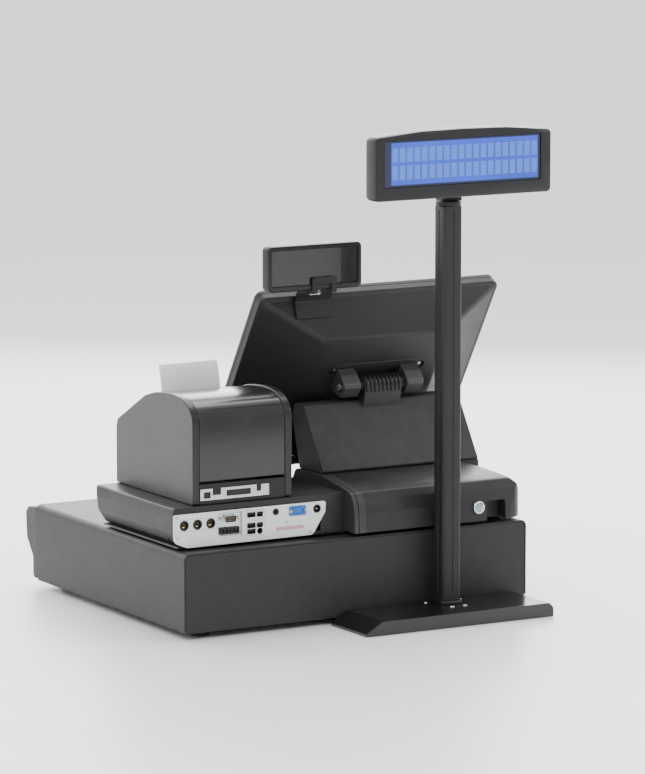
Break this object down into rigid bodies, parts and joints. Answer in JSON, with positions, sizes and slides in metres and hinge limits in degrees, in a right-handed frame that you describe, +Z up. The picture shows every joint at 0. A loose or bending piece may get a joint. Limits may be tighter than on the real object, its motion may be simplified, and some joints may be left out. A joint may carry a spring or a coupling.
{
  "type": "cash register",
  "caption": "Point-of-sale cash register: steel cash drawer with till, terminal base, tilting touch monitor, receipt printer and blue customer display on a pole.",
  "frame": {"origin": "centre of the bounding box's bottom face, on the counter top", "axes": "+Z up; +X to the operator's right; -Y towards the operator (the drawer opens along -Y), +Y towards the customer"},
  "size_m": [0.5184, 0.5156, 0.601],
  "materials": {
    "drawer_steel": "fine textured charcoal powder coat",
    "drawer_front_plastic": "textured black moulding",
    "zinc": "zinc plated",
    "rubber": "matte",
    "till_plastic": "satin moulding",
    "case_plastic": "fine spark-eroded texture",
    "printer_plastic": "warm grey fine texture",
    "gloss_black": "polished",
    "dark_plastic": "satin",
    "connector_panel": "white enamel",
    "connector_metal": "nickel plated shells",
    "video_blue": "moulded",
    "circuit_board": "solder resist",
    "chrome": "polished",
    "screen_glass": "anti-glare",
    "lcd": "display panel",
    "display_blue": "blue filter",
    "paper": "thermal paper"
  },
  "bodies": {
    "housing": {"drawer_cover": "drawer_steel", "drawer_floor": "drawer_steel", "drawer_foot_1": "rubber", "drawer_foot_2": "rubber", "drawer_foot_3": "rubber", "drawer_foot_4": "rubber", "drawer_rail_left": "zinc", "drawer_rail_right": "zinc", "drawer_latch_housing": "zinc", "drawer_ejector_spring": "zinc", "terminal_chassis": "drawer_steel", "platform_cover": "case_plastic", "hump_cover": "case_plastic", "hump_end_cheek": "case_plastic", "indicator_lens": "chrome", "io_panel": "connector_panel", "port_din_group": "dark_plastic", "port_serial_block": "connector_metal", "port_socket_stack": "connector_metal", "port_audio_jack": "dark_plastic", "port_video": "video_blue", "port_power_inlet": "dark_plastic", "mainboard": "circuit_board", "stand_column": "case_plastic", "monitor_hinge_shaft": "zinc", "printer_cheek_left": "printer_plastic", "printer_cheek_right": "printer_plastic", "printer_base": "dark_plastic", "printer_front_cover": "printer_plastic", "print_head": "zinc", "receipt_strip": "paper", "pole_base": "gloss_black", "pole_tube": "case_plastic"},
    "drawer": {"drawer_pan": "zinc", "drawer_front": "drawer_front_plastic", "till_insert": "till_plastic"},
    "drawer_lock": {"drawer_lock": "chrome"},
    "latch_hook": {"drawer_latch_hook": "zinc"},
    "bill_clip_1": {"bill_clip_1": "zinc"},
    "bill_clip_2": {"bill_clip_2": "zinc"},
    "bill_clip_3": {"bill_clip_3": "zinc"},
    "bill_clip_4": {"bill_clip_4": "zinc"},
    "power_button": {"power_button": "gloss_black"},
    "monitor": {"monitor_back_cover": "case_plastic", "monitor_bezel": "case_plastic", "lcd_panel": "lcd", "touch_glass": "screen_glass", "hinge_knuckle_left": "case_plastic", "hinge_knuckle_right": "case_plastic", "rear_display_bracket": "case_plastic"},
    "rear_display": {"rear_display_housing": "dark_plastic", "rear_display_window": "screen_glass"},
    "printer_lid": {"printer_lid": "gloss_black"},
    "platen_roller": {"platen_roller": "rubber"},
    "paper_roll": {"paper_roll": "paper"},
    "lid_release": {"lid_release_button": "gloss_black"},
    "feed_button": {"feed_button": "gloss_black"},
    "pole_neck": {"pole_swivel_neck": "dark_plastic"},
    "pole_head": {"head_housing": "dark_plastic", "head_window": "display_blue"}
  },
  "joints": [
    {"name": "drawer_slide", "type": "slide", "parent": "housing", "child": "drawer", "axis": [0, -1, 0], "range_m": [0, 0.3], "deforming": ["drawer_ejector_spring"]},
    {"name": "lock_turn", "type": "hinge", "parent": "drawer", "child": "drawer_lock", "pos_m": [0.01575, -0.25625, 0.078], "axis": [0, 1, 0], "range_deg": [0, 90]},
    {"name": "latch_pivot", "type": "hinge", "parent": "housing", "child": "latch_hook", "pos_m": [0.01575, 0.12875, 0.054], "axis": [1, 0, 0], "range_deg": [0, 6], "stiffness_Nm_per_rad": 0.2, "springref_deg": -5.73},
    {"name": "power_press", "type": "slide", "parent": "housing", "child": "power_button", "axis": [0, 1, 0], "range_m": [0, 0.002], "stiffness_N_per_m": 400, "springref_m": -0.0005},
    {"name": "monitor_tilt", "type": "hinge", "parent": "housing", "child": "monitor", "pos_m": [-0.08825, 0.04075, 0.268], "axis": [1, 0, 0], "range_deg": [-28, 4]},
    {"name": "rear_display_tilt", "type": "hinge", "parent": "monitor", "child": "rear_display", "pos_m": [0.01575, 0.05725, 0.401], "axis": [1, 0, 0], "range_deg": [-8, 8]},
    {"name": "lid_hinge", "type": "hinge", "parent": "housing", "child": "printer_lid", "pos_m": [0.16175, 0.13925, 0.187], "axis": [-1, 0, 0], "range_deg": [0, 85]},
    {"name": "paper_roll_spin", "type": "hinge", "parent": "housing", "child": "paper_roll", "pos_m": [0.16175, 0.08075, 0.206], "axis": [1, 0, 0], "continuous": true},
    {"name": "platen_spin", "type": "hinge", "parent": "printer_lid", "child": "platen_roller", "pos_m": [0.16175, 0.03125, 0.2615], "axis": [1, 0, 0], "continuous": true},
    {"name": "lid_release_press", "type": "slide", "parent": "housing", "child": "lid_release", "axis": [0, 0.494, -0.8695], "range_m": [0, 0.0025], "stiffness_N_per_m": 500, "springref_m": -0.0005},
    {"name": "feed_press", "type": "slide", "parent": "housing", "child": "feed_button", "axis": [0, 0.494, -0.8695], "range_m": [0, 0.0015], "stiffness_N_per_m": 400, "springref_m": -0.0005},
    {"name": "pole_swivel", "type": "hinge", "parent": "housing", "child": "pole_neck", "pos_m": [-0.09625, 0.19175, 0.508], "axis": [0, 0, 1], "range_deg": [-90, 90]},
    {"name": "pole_head_tilt", "type": "hinge", "parent": "pole_neck", "child": "pole_head", "pos_m": [-0.09625, 0.19275, 0.524], "axis": [1, 0, 0], "range_deg": [-10, 10]},
    {"name": "bill_clip_1_lift", "type": "hinge", "parent": "drawer", "child": "bill_clip_1", "pos_m": [-0.1485, 0.06075, 0.0776], "axis": [-1, 0, 0], "range_deg": [0, 48], "stiffness_Nm_per_rad": 0.03, "springref_deg": -17.19},
    {"name": "bill_clip_2_lift", "type": "hinge", "parent": "drawer", "child": "bill_clip_2", "pos_m": [-0.039, 0.06075, 0.0776], "axis": [-1, 0, 0], "range_deg": [0, 48], "stiffness_Nm_per_rad": 0.03, "springref_deg": -17.19},
    {"name": "bill_clip_3_lift", "type": "hinge", "parent": "drawer", "child": "bill_clip_3", "pos_m": [0.0705, 0.06075, 0.0776], "axis": [-1, 0, 0], "range_deg": [0, 48], "stiffness_Nm_per_rad": 0.03, "springref_deg": -17.19},
    {"name": "bill_clip_4_lift", "type": "hinge", "parent": "drawer", "child": "bill_clip_4", "pos_m": [0.18, 0.06075, 0.0776], "axis": [-1, 0, 0], "range_deg": [0, 48], "stiffness_Nm_per_rad": 0.03, "springref_deg": -17.19}
  ],
  "couplings": [
    {"joint": "platen_spin", "follows": "paper_roll_spin", "ratio": -5.4286}
  ]
}
